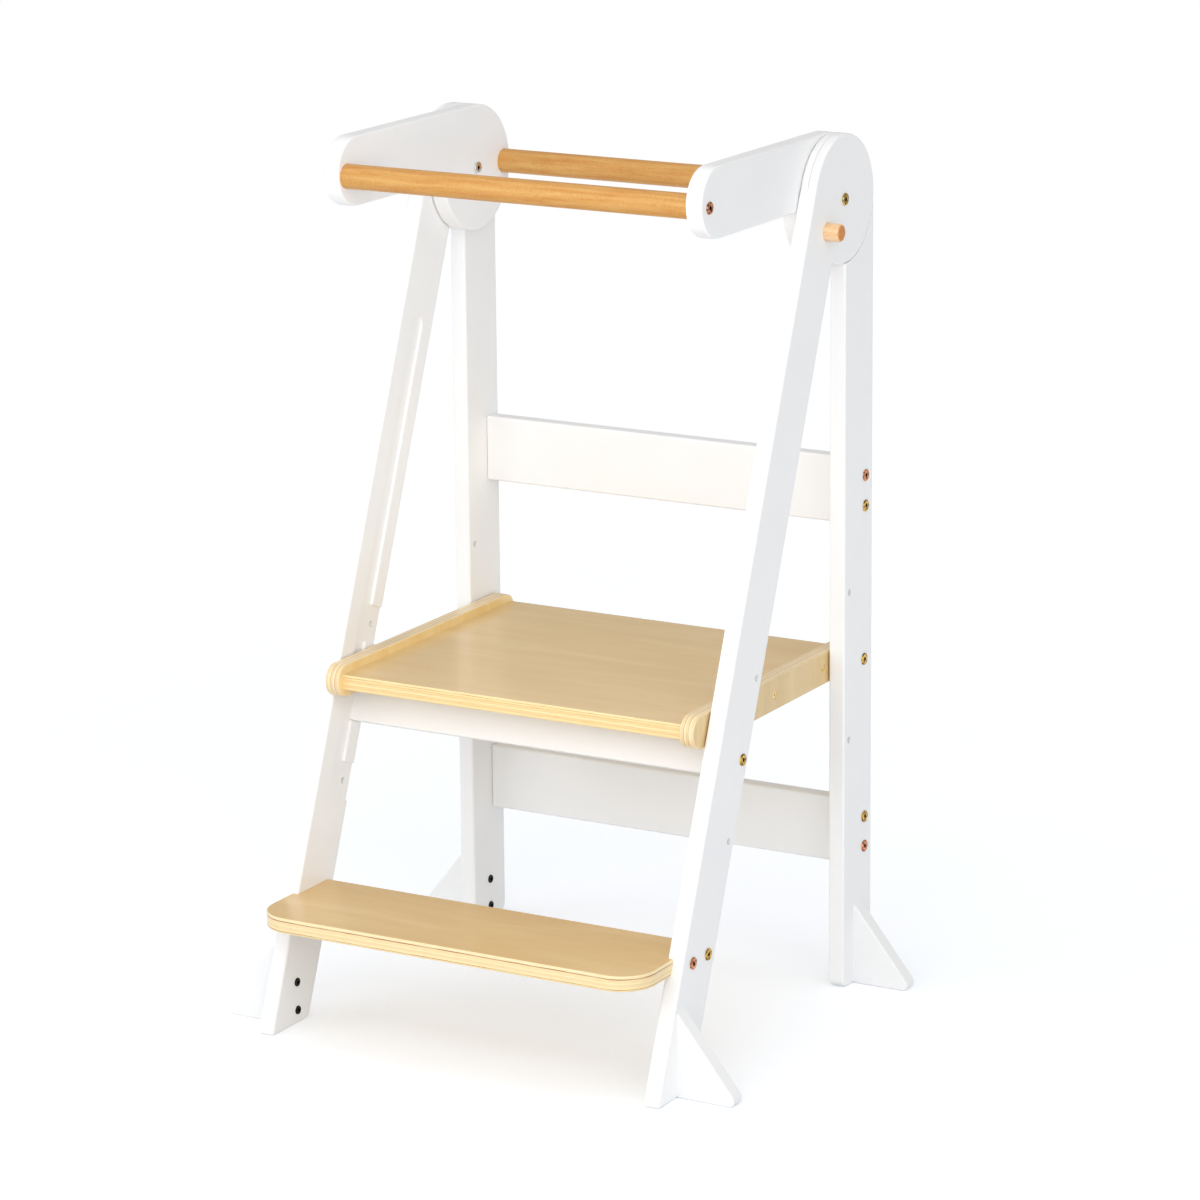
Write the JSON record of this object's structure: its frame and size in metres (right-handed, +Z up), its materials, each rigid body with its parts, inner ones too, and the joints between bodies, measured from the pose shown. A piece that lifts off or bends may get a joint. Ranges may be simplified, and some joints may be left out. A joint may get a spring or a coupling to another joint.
{
  "type": "toddler kitchen helper stool",
  "caption": "Folding learning tower: slanted front legs with a step, upright rear legs, a platform with side rails, and a raised handrail of arms and dowels.",
  "frame": {"origin": "on the floor, in the middle of the stool's bounding box", "axes": "+Z up; -Y towards the step, where the child climbs in; +X to the right of someone who looks along +Y"},
  "size_m": [0.589, 0.482, 0.9],
  "materials": {
    "white_paint": "satin white paint on solid wood",
    "birch_plywood": "clear satin lacquer on birch plywood",
    "beech_dowel": "clear satin lacquer",
    "raw_beech": "bare sanded wood",
    "yellow_zinc": "yellow zinc plated",
    "bright_zinc": "bright zinc plated",
    "black_steel": "black oxide"
  },
  "bodies": {
    "rear_frame": {"rear_leg_left": "white_paint", "rear_leg_right": "white_paint", "rear_foot_left": "white_paint", "rear_foot_right": "white_paint", "upper_back_rail": "white_paint", "lower_back_rail": "white_paint", "back_rail_bolts": "yellow_zinc", "back_rail_inserts": "bright_zinc", "rear_foot_bolts": "black_steel", "rear_foot_inserts": "bright_zinc", "pivot_bolts": "yellow_zinc", "pivot_sleeve_nuts": "bright_zinc", "pivot_washers": "bright_zinc", "platform_hinge_bolts": "yellow_zinc", "platform_hinge_washers": "bright_zinc"},
    "front_frame": {"front_leg_left": "white_paint", "front_leg_right": "white_paint", "front_foot_left": "white_paint", "front_foot_right": "white_paint", "crossbar": "white_paint", "step": "birch_plywood", "step_bolts": "yellow_zinc", "step_inserts": "bright_zinc", "crossbar_bolts": "yellow_zinc", "crossbar_inserts": "bright_zinc", "front_foot_bolts": "black_steel", "front_foot_inserts": "bright_zinc"},
    "platform": {"platform_board": "birch_plywood", "side_rail_left": "birch_plywood", "side_rail_right": "birch_plywood", "platform_screws": "yellow_zinc", "guide_pins": "bright_zinc"},
    "handrail": {"guard_arm_left": "white_paint", "guard_arm_right": "white_paint", "front_dowel_rail": "beech_dowel", "rear_dowel_rail": "beech_dowel", "front_dowel_bolts": "yellow_zinc", "front_dowel_inserts": "bright_zinc", "rear_dowel_screws": "yellow_zinc"},
    "lock_peg_left": {"lock_peg_left": "raw_beech"},
    "lock_peg_right": {"lock_peg_right": "raw_beech"}
  },
  "joints": [
    {"name": "front_frame_fold", "type": "hinge", "parent": "rear_frame", "child": "front_frame", "pos_m": [0, 0.175, 0.834], "axis": [1, 0, 0], "range_deg": [0, 21.35]},
    {"name": "platform_fold", "type": "hinge", "parent": "rear_frame", "child": "platform", "pos_m": [0, 0.2222, 0.346], "axis": [-1, 0, 0], "range_deg": [0, 73.11]},
    {"name": "handrail_lift", "type": "hinge", "parent": "rear_frame", "child": "handrail", "pos_m": [0, 0.175, 0.834], "axis": [-1, 0, 0], "range_deg": [0, 90]},
    {"name": "lock_peg_left_slide", "type": "slide", "parent": "front_frame", "child": "lock_peg_left", "axis": [-1, 0, 0], "range_m": [0, 0.012]},
    {"name": "lock_peg_right_slide", "type": "slide", "parent": "front_frame", "child": "lock_peg_right", "axis": [1, 0, 0], "range_m": [0, 0.012]}
  ],
  "couplings": [
    {"joint": "platform_fold", "follows": "front_frame_fold", "ratio": 3.424}
  ]
}
